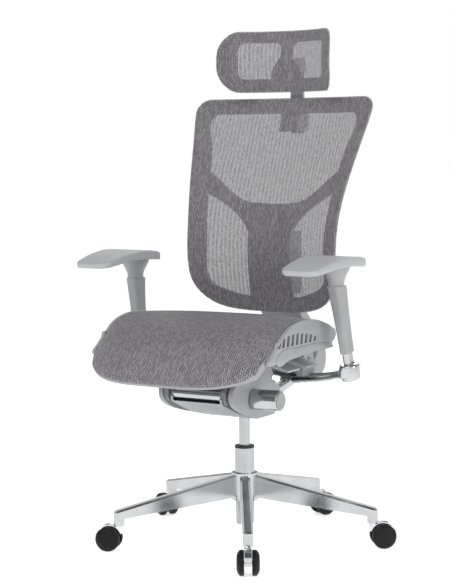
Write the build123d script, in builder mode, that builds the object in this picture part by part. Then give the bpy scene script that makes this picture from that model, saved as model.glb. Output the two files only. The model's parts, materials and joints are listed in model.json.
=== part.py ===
"""Ergonomic mesh office chair with headrest.

Frame: +Z up, origin on the floor on the gas column's axis, the sitter faces -Y and the sitter's left is +X.
Lengths are millimetres.
"""

import os
from math import cos, radians, sin, sqrt

from build123d import *

SIDES = {"left": 1, "right": -1}

# Five-star base
ARM_COUNT = 5
FIRST_ARM_DEG = -58.55
ARM_WIDTH = 25.0
ARM_TIP_RADIUS = 341.0
ARM_TIP_TOP = 98.5
SOCKET_RADIUS = 329.0
SOCKET_BOTTOM = 63.5
HUB_RADIUS = 33.0
HUB_TOP = 172.0
HUB_BOTTOM = 103.0

# Castors
WHEEL_RADIUS = 30.0
WHEEL_INNER_FACE = 9.2
WHEEL_OUTER_FACE = 27.0
CASTOR_TRAIL = 25.0
FORK_WIDTH = 17.0
STEM_RADIUS = 5.5
AXLE_RADIUS = 4.0
RUNNING_FIT = 0.06
CASTOR_HEADINGS = [-59.6, 38.4, 60.9, 150.3, 198.9]

# Gas lift
TUBE_RADIUS = 25.0
TUBE_FOOT_RADIUS = 22.5
TUBE_BOTTOM = 42.0
TUBE_TOP = 235.0
TAPER_TOP = 170.0
BUSH_TOP = 241.0
PRESSURE_RADIUS = 14.0
PRESSURE_BOTTOM = 150.0
PRESSURE_TOP = 350.0
PISTON_ROD_RADIUS = 5.0

# Mechanism
HOUSING_HALF = 72.0
HOUSING_WALL = 6.0
HOUSING_BOTTOM = 321.0
FRONT_AXLE_Y = -212.0
FRONT_AXLE_Z = 397.0
FRONT_BAR_RADIUS = 13.5
FRONT_BAR_HALF = 92.0
TILT_AXLE_Y = 40.0
TILT_AXLE_Z = 368.0
TILT_AXLE_RADIUS = 6.0
KNOB_Y = -133.0
KNOB_Z = 383.0
KNOB_RADIUS = 25.0
KNOB_START = 106.0
KNOB_END = 178.0
COVER_INNER = 92.0
COVER_OUTER = 104.0

# Seat
SEAT_HALF = 236.0
MESH_THICKNESS = 3.0
SEAT_FRAME_THICKNESS = 13.0
PAN_BOTTOM = 497.0
RAIL_X = 70.0
SEAT_LIP = 9.0
# Side views of the mesh, from the lip to the rear: along the middle, and along either side
SEAT_MIDDLE = [(-398, 463), (-374, 502), (-335, 540), (-285, 565), (-215, 580), (-120, 584), (0, 573), (100, 556)]
SEAT_EDGE = [(-322, 492), (-308, 502), (-288, 516), (-256, 541), (-205, 568), (-120, 579), (0, 554), (100, 530)]
SEAT_SECTIONS = [0, 130, 180, 212, 240]

LEVER_PIVOT_X = 122.0
LEVER_PIVOT_Z = 482.0
LEVER_LUGS = [-148.0, -80.0, -56.0, 12.0]

# Yoke and arm posts
YOKE_HALF = 64.0
POST_FOOT = (300.0, -10.0, 455.0)
POST_LEAN = (-13.0, -43.0, 212.0)
ARM_PIVOT = (287.0, -53.0, 667.0)
SWIVEL_PIN_RADIUS = 8.0
SWIVEL_SEAM = 656.0
BOLT_PLACES = [(-38, 178), (38, 178), (-38, 214), (38, 214)]
BOLT_RADIUS = 4.0

# Back: height, half-width of the outline, Y at the outline, how far the middle lies behind the sides
BACK_SECTIONS = [
    (540, 212, 96, 50),
    (640, 211, 84, 53),
    (730, 213, 76, 54),
    (850, 220, 99, 54),
    (980, 239, 153, 50),
    (1120, 256, 217, 45),
]
BACK_BAND_HALF = 262.0
BACK_TOP = 1108.0
BACK_BOTTOM = 565.0
BACK_RIM = 38.0
BACK_SHELL = 12.0
TONGUE_FRONT = 180.0
TONGUE_REAR = 192.0
TONGUE_HALF = 40.0
SLIDE_GAP = 0.35

# Headrest
HEAD_STEM_Y = 288.0
HEAD_STEM_HALF = 18.0
HEAD_STEM_DEPTH = 10.0
HEAD_PIVOT_Z = 1196.0
HEAD_PIVOT_Y = 274.0
HEAD_PIVOT_RADIUS = 4.0
HEAD_HALF = 160.0
HEAD_MIDDLE_Z = 1204.0
HEAD_HEIGHT = 153.0
HEAD_CORNER_WIDE = 36.0
HEAD_CORNER_TALL = 60.0
HEAD_RIM = 30.0


def save(builder, name):
    """Label a finished piece and write it as one STEP file."""
    builder.part.label = name
    export_step(builder.part, f"parts/{name}.step")


def arm_point(index, radius):
    """Plan position on the centre line of one base arm."""
    angle = radians(FIRST_ARM_DEG + index * 360 / ARM_COUNT)
    return radius * cos(angle), radius * sin(angle)


# ---------------------------------------------------------------- base and gas lift


def tube_taper(z):
    """Outer radius of the tapered foot of the gas lift's outer tube at height z."""
    share = (z - TUBE_BOTTOM) / (TAPER_TOP - TUBE_BOTTOM)
    return TUBE_FOOT_RADIUS + (TUBE_RADIUS - TUBE_FOOT_RADIUS) * share


def base_arm():
    with BuildPart() as arm:
        with BuildSketch(Plane.XZ):
            with BuildLine():
                Polyline(
                    (20, HUB_TOP - 2),
                    (ARM_TIP_RADIUS, ARM_TIP_TOP),
                    (ARM_TIP_RADIUS, SOCKET_BOTTOM),
                    (ARM_TIP_RADIUS - 24, SOCKET_BOTTOM),
                    (ARM_TIP_RADIUS - 24, 80),
                    (20, 112),
                    close=True,
                )
            make_face()
        extrude(amount=ARM_WIDTH / 2, both=True)
        tip_corners = arm.edges().filter_by(Axis.Z).group_by(Axis.X)[-1]
        fillet(tip_corners, radius=10)
        ridge = arm.edges().filter_by(lambda e: e.length > 200).group_by(Axis.Z)[-1]
        chamfer(ridge, length=4.5)
        # The casting is hollow below, open downwards between its two side walls.
        with BuildSketch(Plane.XZ):
            with BuildLine():
                Polyline((44, 60), (44, 150), (306, 84), (306, 60), close=True)
            make_face()
        extrude(amount=ARM_WIDTH / 2 - 4, both=True, mode=Mode.SUBTRACT)
    return arm.part


def make_base_star():
    arm = base_arm()
    with BuildPart() as base_star:
        with PolarLocations(0, ARM_COUNT, start_angle=FIRST_ARM_DEG):
            add(arm)
        with Locations((0, 0, (HUB_BOTTOM + HUB_TOP) / 2)):
            Cylinder(HUB_RADIUS, HUB_TOP - HUB_BOTTOM)
        with BuildSketch(Plane.XZ):
            with BuildLine():
                Polyline(
                    (0, HUB_BOTTOM - 5),
                    (tube_taper(HUB_BOTTOM - 5), HUB_BOTTOM - 5),
                    (tube_taper(HUB_TOP + 5), HUB_TOP + 5),
                    (0, HUB_TOP + 5),
                    close=True,
                )
            make_face()
        revolve(axis=Axis.Z, mode=Mode.SUBTRACT)
        for index in range(ARM_COUNT):
            x, y = arm_point(index, SOCKET_RADIUS)
            with BuildSketch(Plane((x, y, SOCKET_BOTTOM))):
                Circle(7)
            extrude(amount=30, mode=Mode.SUBTRACT)
    save(base_star, "base_star")


def make_castor_sleeves():
    with BuildPart() as sleeves:
        for index in range(ARM_COUNT):
            x, y = arm_point(index, SOCKET_RADIUS)
            with BuildSketch(Plane((x, y, SOCKET_BOTTOM))):
                Circle(7)
                Circle(STEM_RADIUS + RUNNING_FIT, mode=Mode.SUBTRACT)
            extrude(amount=29)
    save(sleeves, "castor_sleeves")


def make_gas_outer_tube():
    with BuildPart() as tube:
        with BuildSketch(Plane.XZ):
            with BuildLine():
                Polyline(
                    (PISTON_ROD_RADIUS + RUNNING_FIT, TUBE_BOTTOM),
                    (TUBE_FOOT_RADIUS, TUBE_BOTTOM),
                    (TUBE_RADIUS, TAPER_TOP),
                    (TUBE_RADIUS, TUBE_TOP),
                    (TUBE_FOOT_RADIUS - 1.5, TUBE_TOP),
                    (TUBE_FOOT_RADIUS - 1.5, TUBE_BOTTOM + 6),
                    (PISTON_ROD_RADIUS + RUNNING_FIT, TUBE_BOTTOM + 6),
                    close=True,
                )
            make_face()
        revolve(axis=Axis.Z)
    save(tube, "gas_outer_tube")


def make_gas_bush():
    inner = PRESSURE_RADIUS + RUNNING_FIT
    with BuildPart() as bush:
        with BuildSketch(Plane.XZ):
            with BuildLine():
                Polyline(
                    (inner, 180),
                    (TUBE_FOOT_RADIUS - 1.5, 180),
                    (TUBE_FOOT_RADIUS - 1.5, TUBE_TOP),
                    (TUBE_RADIUS, TUBE_TOP),
                    (TUBE_RADIUS, BUSH_TOP - 1),
                    (TUBE_RADIUS - 1, BUSH_TOP),
                    (inner, BUSH_TOP),
                    close=True,
                )
            make_face()
        revolve(axis=Axis.Z)
    save(bush, "gas_bush")


def make_gas_piston_rod():
    with BuildPart() as rod:
        with Locations((0, 0, 34)):
            Cylinder(PISTON_ROD_RADIUS, 176, align=(Align.CENTER, Align.CENTER, Align.MIN))
        with Locations((0, 0, 37)):
            Cylinder(9, 4.7, align=(Align.CENTER, Align.CENTER, Align.MIN))
        with Locations((0, 0, TUBE_BOTTOM + 6.3)):
            Cylinder(11, 5, align=(Align.CENTER, Align.CENTER, Align.MIN))
        with Locations((0, 0, 204)):
            Cylinder(11.45, 10, align=(Align.CENTER, Align.CENTER, Align.MIN))
    save(rod, "gas_piston_rod")


def make_gas_pressure_tube():
    with BuildPart() as tube:
        with BuildSketch(Plane.XZ):
            with BuildLine():
                Polyline(
                    (PISTON_ROD_RADIUS + RUNNING_FIT, PRESSURE_BOTTOM),
                    (PRESSURE_RADIUS, PRESSURE_BOTTOM),
                    (PRESSURE_RADIUS, PRESSURE_TOP - 4),
                    (4, PRESSURE_TOP),
                    (4, PRESSURE_TOP + 6),
                    (0, PRESSURE_TOP + 6),
                    (0, PRESSURE_TOP - 10),
                    (11.5, PRESSURE_TOP - 10),
                    (11.5, PRESSURE_BOTTOM + 8),
                    (PISTON_ROD_RADIUS + RUNNING_FIT, PRESSURE_BOTTOM + 8),
                    close=True,
                )
            make_face()
        revolve(axis=Axis.Z)
    save(tube, "gas_pressure_tube")


# ---------------------------------------------------------------- castors
# Each castor is drawn about its own stem: X is the way it trails, Y runs along its axle.


def castor_fork():
    with BuildPart() as fork:
        with BuildSketch(Plane.XZ):
            # Arched fender over the gap between the wheels
            with Locations((CASTOR_TRAIL, WHEEL_RADIUS)):
                Circle(WHEEL_RADIUS + 4.5)
                Circle(WHEEL_RADIUS + 1.2, mode=Mode.SUBTRACT)
            with BuildLine():
                Polyline((25, 30), (70, 38), (90, -20), (-30, -20), (-30, 40), (-6, 44), close=True)
            make_face(mode=Mode.SUBTRACT)
            # Web from the stem boss to the axle boss
            with BuildLine():
                Polyline((-9, 44), (-9, 60), (14, 60), (33, 36), (25, 22), (16, 26), close=True)
            make_face()
            with Locations((CASTOR_TRAIL, WHEEL_RADIUS)):
                Circle(9)
        extrude(amount=FORK_WIDTH / 2, both=True)
        with BuildSketch(Plane.XY.offset(42)):
            Circle(STEM_RADIUS)
        extrude(amount=30, mode=Mode.SUBTRACT)
        with BuildSketch(Plane.XY.offset(60)):
            Circle(11)
        extrude(amount=30, mode=Mode.SUBTRACT)
        with BuildSketch(Plane.XZ):
            with Locations((CASTOR_TRAIL, WHEEL_RADIUS)):
                Circle(AXLE_RADIUS)
        extrude(amount=40, both=True, mode=Mode.SUBTRACT)
    return fork.part


def castor_pins():
    """Steel stem with its collar, and the axle."""
    with BuildPart() as pins:
        with Locations((0, 0, 42)):
            Cylinder(STEM_RADIUS, 50, align=(Align.CENTER, Align.CENTER, Align.MIN))
        with Locations((0, 0, 60)):
            Cylinder(10.5, 3, align=(Align.CENTER, Align.CENTER, Align.MIN))
        with BuildSketch(Plane.XZ):
            with Locations((CASTOR_TRAIL, WHEEL_RADIUS)):
                Circle(AXLE_RADIUS)
        extrude(amount=WHEEL_OUTER_FACE - 1, both=True)
    return pins.part


def castor_wheels():
    """Twin wheels with domed outer faces and a blind bore each."""
    bore = AXLE_RADIUS + RUNNING_FIT
    axle = WHEEL_RADIUS
    with BuildPart() as wheels:
        with BuildSketch(Plane.YZ.offset(CASTOR_TRAIL)):
            with BuildLine():
                Polyline(
                    (WHEEL_OUTER_FACE + 0.4, axle),
                    (WHEEL_OUTER_FACE - 0.7, axle),
                    (WHEEL_OUTER_FACE - 0.7, axle + bore),
                    (WHEEL_INNER_FACE, axle + bore),
                    (WHEEL_INNER_FACE, axle + 28),
                    (WHEEL_INNER_FACE + 2, axle + WHEEL_RADIUS),
                    (19, axle + WHEEL_RADIUS),
                )
                ThreePointArc((19, axle + WHEEL_RADIUS), (24.2, axle + 24), (27, axle + 12))
                Polyline((27, axle + 12), (WHEEL_OUTER_FACE + 0.4, axle))
            make_face()
        revolve(axis=Axis((CASTOR_TRAIL, 0, axle), (0, 1, 0)))
        mirror(about=Plane.XZ)
    return wheels.part


def make_castors():
    pieces = {"castor_fork": castor_fork(), "castor_pins": castor_pins(), "castor_wheels": castor_wheels()}
    for index, heading in enumerate(CASTOR_HEADINGS):
        x, y = arm_point(index, SOCKET_RADIUS)
        for name, piece in pieces.items():
            with BuildPart() as castor_piece:
                with Locations(Location((x, y, 0), (0, 0, heading))):
                    add(piece)
            save(castor_piece, f"{name}_{index}")


# ---------------------------------------------------------------- mechanism


def side_polygon(points, half, offset=0.0):
    """Solid with the outline given as (Y, Z) points, centred on X = offset and 2 * half wide."""
    with BuildPart() as slab:
        with BuildSketch(Plane.YZ.offset(offset)):
            with BuildLine():
                Polyline(*points, close=True)
            make_face()
        extrude(amount=half, both=True)
    return slab.part


def x_rod(radius, y, z, x_from, x_to):
    """Round bar along X."""
    with BuildPart() as bar:
        with BuildSketch(Plane.YZ.offset(x_from)):
            with Locations((y, z)):
                Circle(radius)
        extrude(amount=x_to - x_from)
    return bar.part


def make_mechanism_housing():
    outline = [(-228, 390), (-222, 411), (-192, 411), (20, 405), (56, 386), (56, 350), (25, HOUSING_BOTTOM)]
    outline += [(-60, HOUSING_BOTTOM), (-130, 338), (-192, 364), (-224, 378)]
    cavity = [(-192, 373), (-192, 430), (70, 430), (70, 340), (28, 327), (-58, 327), (-128, 344)]
    with BuildPart() as housing:
        add(side_polygon(outline, HOUSING_HALF))
        add(side_polygon(cavity, HOUSING_HALF - HOUSING_WALL), mode=Mode.SUBTRACT)
        front_gap = [(-240, 380), (-240, 430), (-197, 430), (-197, 380)]
        add(side_polygon(front_gap, HOUSING_HALF - HOUSING_WALL), mode=Mode.SUBTRACT)
        with Locations((0, 0, HOUSING_BOTTOM)):
            Cylinder(24, 44, align=(Align.CENTER, Align.CENTER, Align.MIN))
        with Locations((0, 0, HOUSING_BOTTOM - 1)):
            Cylinder(PRESSURE_RADIUS, 31, align=(Align.CENTER, Align.CENTER, Align.MIN), mode=Mode.SUBTRACT)
        with Locations((0, 0, HOUSING_BOTTOM)):
            Cylinder(6, 50, align=(Align.CENTER, Align.CENTER, Align.MIN), mode=Mode.SUBTRACT)
        add(x_rod(FRONT_BAR_RADIUS, FRONT_AXLE_Y, FRONT_AXLE_Z, -80, 80), mode=Mode.SUBTRACT)
        add(x_rod(TILT_AXLE_RADIUS, TILT_AXLE_Y, TILT_AXLE_Z, -80, 80), mode=Mode.SUBTRACT)
        add(x_rod(7 + RUNNING_FIT, KNOB_Y, KNOB_Z, 60, 80), mode=Mode.SUBTRACT)
    save(housing, "mechanism_housing")


def make_mechanism_cover():
    lid = [(-186, 415.3), (18, 409.6), (34, 403), (34, 399), (20, 405.4), (-186, 411.3)]
    with BuildPart() as cover:
        add(side_polygon(lid, HOUSING_HALF - 1))
    save(cover, "mechanism_cover")


def make_front_bar():
    with BuildPart() as front_bar:
        add(x_rod(FRONT_BAR_RADIUS, FRONT_AXLE_Y, FRONT_AXLE_Z, -FRONT_BAR_HALF, FRONT_BAR_HALF))
    save(front_bar, "front_bar")


def make_tilt_axle():
    with BuildPart() as tilt_axle:
        add(x_rod(TILT_AXLE_RADIUS, TILT_AXLE_Y, TILT_AXLE_Z, -76, 76))
        chamfer(tilt_axle.edges().filter_by(GeomType.CIRCLE), length=1)
    save(tilt_axle, "tilt_axle")


def make_tilt_springs():
    """Two compression springs side by side along Y in the housing."""
    coil_radius = 14.0
    wire_radius = 2.2
    with BuildPart() as springs:
        for side in SIDES.values():
            with BuildLine() as coil:
                Helix(pitch=13, height=91, radius=coil_radius, center=(side * 30, -44, 376), direction=(0, -1, 0))
            with BuildSketch(Plane(origin=coil.line @ 0, z_dir=coil.line % 0)):
                Circle(wire_radius)
            sweep(path=coil.line)
    save(springs, "tilt_springs")


def make_side_covers():
    """Swept side covers that cap the ends of the front bar and rise towards the seat."""
    for name, side in SIDES.items():
        with BuildPart() as cover:
            with BuildSketch(Plane.YZ.offset(side * (COVER_INNER + COVER_OUTER) / 2)):
                with BuildLine():
                    Spline((-231, 400), (-214, 372), (-160, 349), (-117, 337), (-84, 341), tangents=((0, -1), (1, 0.4)))
                    Line((-84, 341), (-78, 349))
                    Spline((-78, 349), (-128, 376), (-66, 406), (-34, 432), tangents=((-1, 0.2), (0.6, 1)))
                    Line((-34, 432), (-46, 450))
                    Spline((-46, 450), (-120, 446), (-190, 433), (-231, 400), tangents=((-1, 0.2), (0, -1)))
                make_face()
            extrude(amount=(COVER_OUTER - COVER_INNER) / 2, both=True)
            add(x_rod(9, KNOB_Y, KNOB_Z, -120, 120), mode=Mode.SUBTRACT)
        save(cover, f"side_cover_{name}")


def make_tension_knob():
    with BuildPart() as knob:
        add(x_rod(KNOB_RADIUS, KNOB_Y, KNOB_Z, KNOB_START, KNOB_END))
        fillet(knob.edges().filter_by(GeomType.CIRCLE), radius=2)
        add(x_rod(7, KNOB_Y, KNOB_Z, 62, KNOB_START + 1))
    save(knob, "tension_knob")
    with BuildPart() as cap:
        add(x_rod(KNOB_RADIUS - 3, KNOB_Y, KNOB_Z, KNOB_END, KNOB_END + 3))
        chamfer(cap.edges().filter_by(GeomType.CIRCLE).sort_by(Axis.X)[-1], length=1.5)
    save(cap, "tension_knob_cap")


# ---------------------------------------------------------------- seat


def make_seat_carrier():
    """Two cheek plates that turn on the front bar, a cross plate and a pair of open slide rails."""
    cheek = [(-232, 390), (-222, 378), (-204, 380), (-192, 396), (-150, 446), (60, 460), (60, 476)]
    cheek += [(-200, 476), (-234, 410)]
    with BuildPart() as carrier:
        for side in SIDES.values():
            add(side_polygon(cheek, 5, side * 81))
        add(side_polygon([(-200, 470), (60, 470), (60, 476), (-200, 476)], 86))
        for side in SIDES.values():
            with Locations((side * RAIL_X, -75, 485.5)):
                Box(28, 262, 19)
                Box(20.7, 300, 20, mode=Mode.SUBTRACT)
        add(side_polygon([(-200, 470), (60, 470), (60, 476), (-200, 476)], 86))
        bore = FRONT_BAR_RADIUS + RUNNING_FIT
        add(x_rod(bore, FRONT_AXLE_Y, FRONT_AXLE_Z, -100, 100), mode=Mode.SUBTRACT)
    save(carrier, "seat_carrier")


def seat_plan(half, front, rear, corner):
    """Seat outline seen from above, inside the current sketch."""
    middle = (front + rear) / 2
    with Locations((0, middle)):
        RectangleRounded(2 * half, rear - front, corner)


def seat_profile(x, depth):
    """Side view of the seat's surface at x, depth below the top of the mesh; it falls away at the sides."""
    share = (abs(x) / SEAT_HALF) ** 4
    profile = []
    for (y, z), (edge_y, edge_z) in zip(SEAT_MIDDLE, SEAT_EDGE):
        profile.append((y + (edge_y - y) * share + 0.5 * depth, z + (edge_z - z) * share - depth))
    return profile


def seat_band(depth, thickness, lip):
    """Sheet that follows the seat's double curve, depth below the top of the mesh; lip lengthens its front."""
    with BuildPart() as band:
        for x in [-x for x in reversed(SEAT_SECTIONS[1:])] + SEAT_SECTIONS:
            outer = seat_profile(x, depth)
            inner = seat_profile(x, depth + thickness)
            with BuildSketch(Plane.YZ.offset(x)):
                with BuildLine():
                    Spline((outer[0][0] - 0.3 * lip, outer[0][1] - lip), *outer[1:])
                    Spline((inner[0][0] - 0.3 * lip, inner[0][1] - lip), *inner[1:])
                    Line((outer[0][0] - 0.3 * lip, outer[0][1] - lip), (inner[0][0] - 0.3 * lip, inner[0][1] - lip))
                    Line(outer[-1], inner[-1])
                make_face()
        loft()
    return band.part


def make_seat_mesh():
    with BuildPart() as mesh:
        add(seat_band(0, MESH_THICKNESS, 0))
        with BuildSketch(Plane.XY.offset(400)):
            seat_plan(SEAT_HALF - 2, -400, 96, 118)
        extrude(amount=250, mode=Mode.INTERSECT)
    save(mesh, "seat_mesh")


def make_seat_frame():
    with BuildPart() as frame:
        add(seat_band(MESH_THICKNESS + SLIDE_GAP, SEAT_FRAME_THICKNESS, SEAT_LIP))
        with BuildSketch(Plane.XY.offset(400)):
            seat_plan(SEAT_HALF, -402, 96, 120)
        extrude(amount=250, mode=Mode.INTERSECT)
        with BuildSketch(Plane.XY.offset(400)):
            seat_plan(SEAT_HALF - 30, -345, 66, 60)
        extrude(amount=250, mode=Mode.SUBTRACT)
    save(frame, "seat_frame")


def make_seat_pan():
    """Tray under the mesh with two runners that slide in the carrier's rails and lugs for the levers."""
    wall = [(-262, PAN_BOTTOM), (-240, 529), (-205, 547), (-120, 558), (0, 534), (40, 526), (40, PAN_BOTTOM)]
    with BuildPart() as pan:
        with BuildSketch(Plane.XY.offset(PAN_BOTTOM)):
            seat_plan(232, -265, 50, 20)
        extrude(amount=5)
        for side in SIDES.values():
            add(side_polygon(wall, 4, side * 224))
            with Locations((side * RAIL_X, -85, 489)):
                Box(20, 210, 18)
            for y in LEVER_LUGS:
                with Locations((LEVER_PIVOT_X, y, 487)):
                    Box(14, 6, 22)
        with Locations((0, 40, 513)):
            Box(440, 10, 32)
        for y in LEVER_LUGS:
            with BuildSketch(Plane.XZ.offset(-y)):
                with Locations((LEVER_PIVOT_X, LEVER_PIVOT_Z)):
                    Circle(4 + RUNNING_FIT)
            extrude(amount=4, both=True, mode=Mode.SUBTRACT)
    save(pan, "seat_pan")


def make_seat_sides():
    """Louvred side covers: deep in the middle, running out to a thin lip towards the front."""
    for name, side in SIDES.items():
        with BuildPart() as cover:
            with BuildSketch(Plane.YZ.offset(side * 241)):
                with BuildLine():
                    Spline((-330, 489), (-273, 526), (-216, 566), (-130, 579), (-38, 567), (26, 541))
                    Line((26, 541), (30, 525))
                    Line((30, 525), (8, 506))
                    Polyline((8, 506), (-85, 503), (-262, 503), (-330, 480), (-330, 489))
                make_face()
            extrude(amount=5, both=True)
            for vent in range(9):
                low = 528 + 0.55 * vent
                high = min(560, 538 + 9 * vent)
                with BuildSketch(Plane.YZ.offset(side * 246)):
                    with Locations((-196 + 15 * vent, (low + high) / 2)):
                        Rectangle(6.5, high - low)
                extrude(amount=-side * 3, mode=Mode.SUBTRACT)
        save(cover, f"seat_side_{name}")


def make_levers():
    """Two paddles under the sitter's left of the seat, each turning on its moulded pins."""
    for name, first in (("height_lever", 0), ("recline_lever", 2)):
        start = LEVER_LUGS[first]
        end = LEVER_LUGS[first + 1]
        middle = (start + end) / 2
        with BuildPart() as lever:
            with BuildSketch(Plane.XZ.offset(-middle)):
                with BuildLine():
                    Polyline((118, 479), (124, 488), (150, 474), (205, 458), (203, 453), (148, 464), close=True)
                make_face()
            extrude(amount=(end - start) / 2 - 5, both=True)
            with BuildSketch(Plane.XZ.offset(-middle)):
                with Locations((LEVER_PIVOT_X, LEVER_PIVOT_Z)):
                    Circle(4)
            extrude(amount=(end - start) / 2 + 2.5, both=True)
        save(lever, name)


# ---------------------------------------------------------------- yoke, posts and upright


def yoke_arm_cut(plan_inset, z_shift_low, z_shift_high):
    """Body of the yoke's left arm: its plan outline, limited by its front-view outline."""
    i = plan_inset
    low = z_shift_low
    high = z_shift_high
    with BuildPart() as arm:
        with BuildSketch(Plane.XY.offset(360)):
            with BuildLine():
                Spline((40 + i, 196 - i), (130, 176 - i), (225, 122 - i), (300 - i, 48), (324 - i, -8))
                Spline((324 - i, -8), (301, -36 + i), (276 + i, -14), tangents=((0, -1), (0, 1)))
                Spline((276 + i, -14), (250, 34 + i), (185, 88 + i), (112, 118 + i), (40 + i, 118 + i))
                Line((40 + i, 118 + i), (40 + i, 196 - i))
            make_face()
        extrude(amount=140)
        with BuildSketch(Plane.XZ):
            with BuildLine():
                Spline((30, 384 + low), (120, 391 + low), (200, 406 + low), (270, 426 + low), (330, 442 + low))
                Line((330, 442 + low), (330, 466 + high))
                Spline((330, 466 + high), (270, 449 + high), (200, 426 + high), (120, 409 + high), (30, 403.6 + high))
                Line((30, 403.6 + high), (30, 384 + low))
            make_face()
        extrude(amount=400, both=True, mode=Mode.INTERSECT)
    return arm.part


def post_plane(side, along):
    """Plane across one armrest post, a distance along it from its foot."""
    lean = Vector(side * POST_LEAN[0], POST_LEAN[1], POST_LEAN[2]).normalized()
    foot = Vector(side * POST_FOOT[0], POST_FOOT[1], POST_FOOT[2])
    return Plane(origin=foot + lean * along, x_dir=(1, 0, 0), z_dir=lean)


def make_yoke():
    plate = [(40, 355), (110, 370), (170, 384), (236, 384), (236, 403.6), (150, 403.6), (100, 391), (40, 381)]
    with BuildPart() as yoke:
        add(side_polygon(plate, YOKE_HALF))
        add(x_rod(13, TILT_AXLE_Y, TILT_AXLE_Z, -YOKE_HALF, YOKE_HALF))
        add(yoke_arm_cut(0, 0, 0))
        add(yoke_arm_cut(9, 14, 30), mode=Mode.SUBTRACT)
        with BuildSketch(post_plane(1, -28)):
            Ellipse(23, 27)
        extrude(amount=40)
        split(bisect_by=Plane.YZ)
        mirror(about=Plane.YZ)
        add(x_rod(TILT_AXLE_RADIUS + RUNNING_FIT, TILT_AXLE_Y, TILT_AXLE_Z, -80, 80), mode=Mode.SUBTRACT)
        for side in SIDES.values():
            with BuildSketch(post_plane(side, -8)):
                RectangleRounded(18, 28, 6)
            extrude(amount=60, mode=Mode.SUBTRACT)
    save(yoke, "yoke")


def make_arm_posts():
    for name, side in SIDES.items():
        with BuildPart() as post:
            with BuildSketch(post_plane(side, -8)):
                RectangleRounded(18, 28, 6)
            extrude(amount=158)
        save(post, f"arm_post_{name}")


def make_link_brackets():
    """Uprights on the yoke that carry the rear of the seat; the pin at their top is left open."""
    bracket = [(96, 409), (96, 455), (108, 470), (150, 466), (160, 440), (160, 412), (128, 409)]
    with BuildPart() as brackets:
        for side in SIDES.values():
            add(side_polygon(bracket, 9, side * 106))
        add(yoke_arm_cut(-6, -20, 0.2), mode=Mode.SUBTRACT)
        mirrored = yoke_arm_cut(-6, -20, 0.2).mirror(Plane.YZ)
        add(mirrored, mode=Mode.SUBTRACT)
        add(x_rod(4, 128, 452, -130, 130), mode=Mode.SUBTRACT)
    save(brackets, "link_brackets")


def make_upright():
    """Curved spine bolted to the yoke, with the flat tongue that the back slides on."""
    with BuildPart() as upright:
        with BuildSketch(Plane.YZ):
            with BuildLine():
                Spline((199, 590), (240, 545), (302, 490), (332, 436), (322, 398), (286, 382), (242, 386))
                Polyline((242, 386), (239, 404), (160, 404), (160, 420), (236, 424))
                Spline((236, 424), (268, 428), (284, 448), (256, 494), (200, 546), (173, 590))
                Line((173, 590), (199, 590))
            make_face()
        extrude(amount=58, both=True)
        with Locations((0, (TONGUE_FRONT + TONGUE_REAR) / 2, 690)):
            Box(2 * TONGUE_HALF, TONGUE_REAR - TONGUE_FRONT, 212)
        for x, y in BOLT_PLACES:
            with Locations((x, y, 412)):
                Cylinder(BOLT_RADIUS, 60, mode=Mode.SUBTRACT)
    save(upright, "upright")


def make_upright_bolts():
    """Four button-head screws through the spine's foot."""
    with BuildPart() as bolts:
        for x, y in BOLT_PLACES:
            with Locations((x, y, 404)):
                Cylinder(BOLT_RADIUS, 17, align=(Align.CENTER, Align.CENTER, Align.MIN))
            with Locations((x, y, 424.2)):
                Cylinder(8, 4.5, align=(Align.CENTER, Align.CENTER, Align.MIN))
            with Locations((x, y, 420)):
                Cylinder(BOLT_RADIUS, 5, align=(Align.CENTER, Align.CENTER, Align.MIN))
    save(bolts, "upright_bolts")


# ---------------------------------------------------------------- back


def back_band(shift, thickness):
    """Sheet that follows the back's double curve, shift behind the face of the mesh."""
    half = BACK_BAND_HALF
    with BuildPart() as band:
        for z, outline_half, edge_y, dish in BACK_SECTIONS:
            radius = (outline_half**2 + dish**2) / (2 * dish)
            middle = edge_y + dish + shift
            side_y = middle - (radius - sqrt(radius**2 - half**2))
            with BuildSketch(Plane.XY.offset(z)):
                with BuildLine():
                    front = ThreePointArc((-half, side_y), (0, middle), (half, side_y))
                    rear = ThreePointArc(
                        (-half, side_y + thickness), (0, middle + thickness), (half, side_y + thickness)
                    )
                    Line(front @ 0, rear @ 0)
                    Line(front @ 1, rear @ 1)
                make_face()
        loft()
    return band.part


def back_outline(inset):
    """The back's outline seen from the front: X across, Z up."""
    i = inset
    top = BACK_TOP - i
    bottom = BACK_BOTTOM + i
    with BuildSketch() as outline:
        with BuildLine():
            Line((0, top), (222 - i / 2, top))
            ThreePointArc((222 - i / 2, top), (245 - 0.85 * i, top - 9 - 0.15 * i), (254 - i, top - 31))
            Spline(
                (254 - i, top - 31),
                (242 - i, 1000),
                (226 - i, 900),
                (214 - i, 800),
                (211 - i, 700),
                (203 - i, 640),
                (160 - 0.8 * i, 588 + 0.8 * i),
                (90, bottom + 3),
                (0, bottom),
                tangents=((-0.1, -1), (-1, 0)),
            )
            mirror(about=Plane.YZ)
        make_face()
    return outline.sketch


def make_back_mesh():
    with BuildPart() as mesh:
        add(back_band(0, MESH_THICKNESS))
        with BuildSketch(Plane.XZ):
            add(back_outline(0))
        extrude(amount=500, both=True, mode=Mode.INTERSECT)
    save(mesh, "back_mesh")


def make_back_frame():
    with BuildPart() as frame:
        add(back_band(MESH_THICKNESS + SLIDE_GAP, BACK_SHELL))
        with BuildSketch(Plane.XZ):
            add(back_outline(0))
        extrude(amount=500, both=True, mode=Mode.INTERSECT)
        with BuildSketch(Plane.XZ):
            add(back_outline(BACK_RIM))
        extrude(amount=500, both=True, mode=Mode.SUBTRACT)
    save(frame, "back_frame")


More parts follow.
